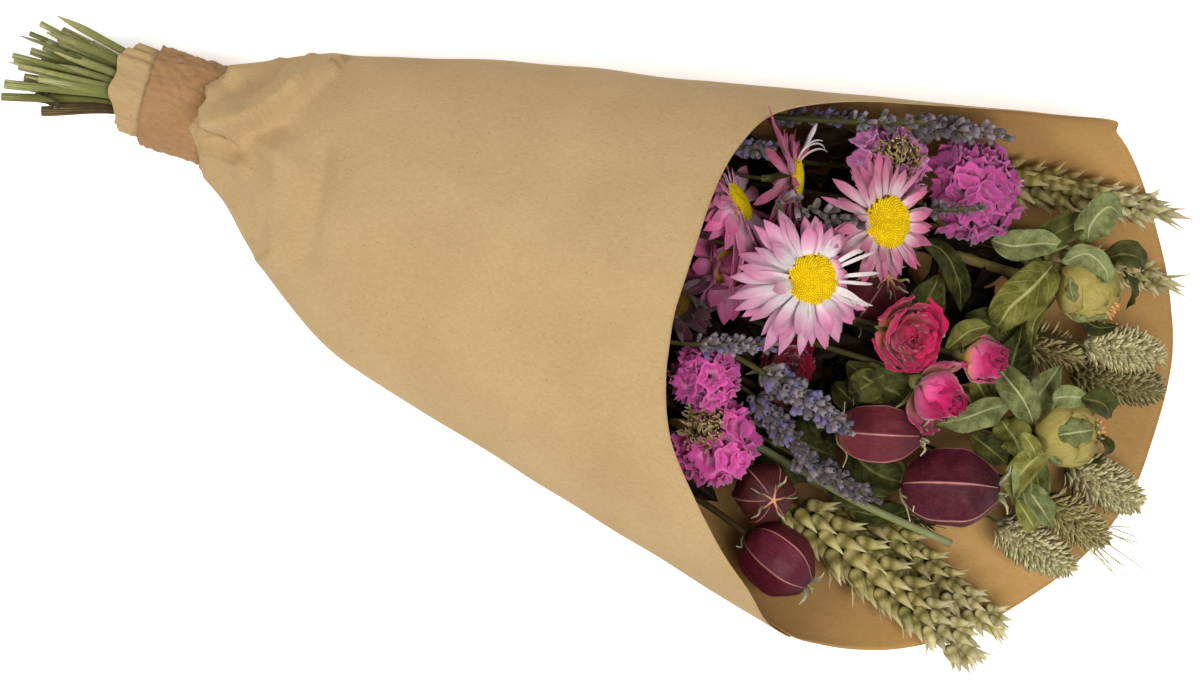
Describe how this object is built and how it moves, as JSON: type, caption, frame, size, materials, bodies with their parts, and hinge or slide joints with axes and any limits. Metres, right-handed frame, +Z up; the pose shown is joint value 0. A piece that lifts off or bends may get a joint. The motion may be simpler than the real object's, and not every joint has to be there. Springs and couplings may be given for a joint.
{
  "type": "mixed flower bouquet",
  "caption": "Mixed bouquet of dried flowers, grasses and pods lying on its side in a rolled kraft-paper wrapper with a taped neck.",
  "frame": {"origin": "on the surface that the bouquet lies on, below the middle of its whole extent", "axes": "+X from the cut stems to the blooms, +Y across the bouquet, +Z up from the surface"},
  "size_m": [0.4184, 0.2028, 0.0976],
  "materials": {
    "kraft_paper": "matt brown kraft paper with fine flecks",
    "paper_tape": "crumpled brown paper tape, slightly glossy",
    "rubber_band": "matt",
    "dry_stem": "dry ribbed stem",
    "daisy_petal": "papery petals, pink with white bases",
    "daisy_disc": "fine yellow florets",
    "statice_flower": "crinkled papery flowers",
    "lavender_bud": "dry felted buds",
    "nigella_pod": "satin burgundy pod with pale ribs",
    "rose_petal": "dried petals",
    "wheat_ear": "dry straw",
    "canary_grass": "dry pale green scales",
    "safflower_bud": "dry pale yellow-green bracts",
    "green_leaf": "dry green leaf with a pale midrib"
  },
  "bodies": {
    "root": {"paper_wrapper": "kraft_paper", "neck_tape": "paper_tape", "stem_band": "rubber_band", "daisy_front": "daisy_petal", "daisy_right": "daisy_petal", "daisy_side": "daisy_petal", "daisy_left": "daisy_petal", "daisy_deep": "daisy_petal", "daisy_shaded": "daisy_petal", "statice_upper_right": "statice_flower", "statice_upper": "statice_flower", "statice_left": "statice_flower", "statice_lower_left": "statice_flower", "lavender_upper": "lavender_bud", "lavender_middle": "lavender_bud", "lavender_right": "lavender_bud", "lavender_dark": "lavender_bud", "lavender_thin": "lavender_bud", "lavender_rim": "lavender_bud", "lavender_violet": "lavender_bud", "lavender_low": "lavender_bud", "lavender_lowest": "lavender_bud", "nigella_large": "nigella_pod", "nigella_middle": "nigella_pod", "nigella_low": "nigella_pod", "nigella_end_on": "nigella_pod", "nigella_dark": "nigella_pod", "rose_open": "rose_petal", "rose_red_bud": "rose_petal", "rose_yellow_bud": "rose_petal", "rose_crimson": "rose_petal", "wheat_long": "wheat_ear", "wheat_short": "wheat_ear", "wheat_upper": "wheat_ear", "wheat_far": "wheat_ear", "canary_pale": "canary_grass", "canary_green": "canary_grass", "canary_brown": "canary_grass", "canary_low": "canary_grass", "canary_inner": "canary_grass", "canary_edge": "canary_grass", "canary_bristly": "canary_grass", "safflower_upper": "safflower_bud", "safflower_lower": "safflower_bud", "cut_stem": "dry_stem", "seed_grass": "canary_grass", "leaf_upper_broad": "green_leaf", "leaf_upper_folded": "green_leaf", "leaf_upper_dark": "green_leaf", "leaf_upper_tip": "green_leaf", "leaf_upper_narrow": "green_leaf", "leaf_lower_left": "green_leaf", "leaf_lower_dark": "green_leaf", "leaf_lower_tall": "green_leaf", "leaf_lower_pale": "green_leaf", "leaf_lower_right": "green_leaf", "leaf_lower_bent": "green_leaf", "leaf_rose_dark": "green_leaf", "leaf_rose_upper": "green_leaf", "leaf_lower_small": "green_leaf"}
  },
  "joints": []
}
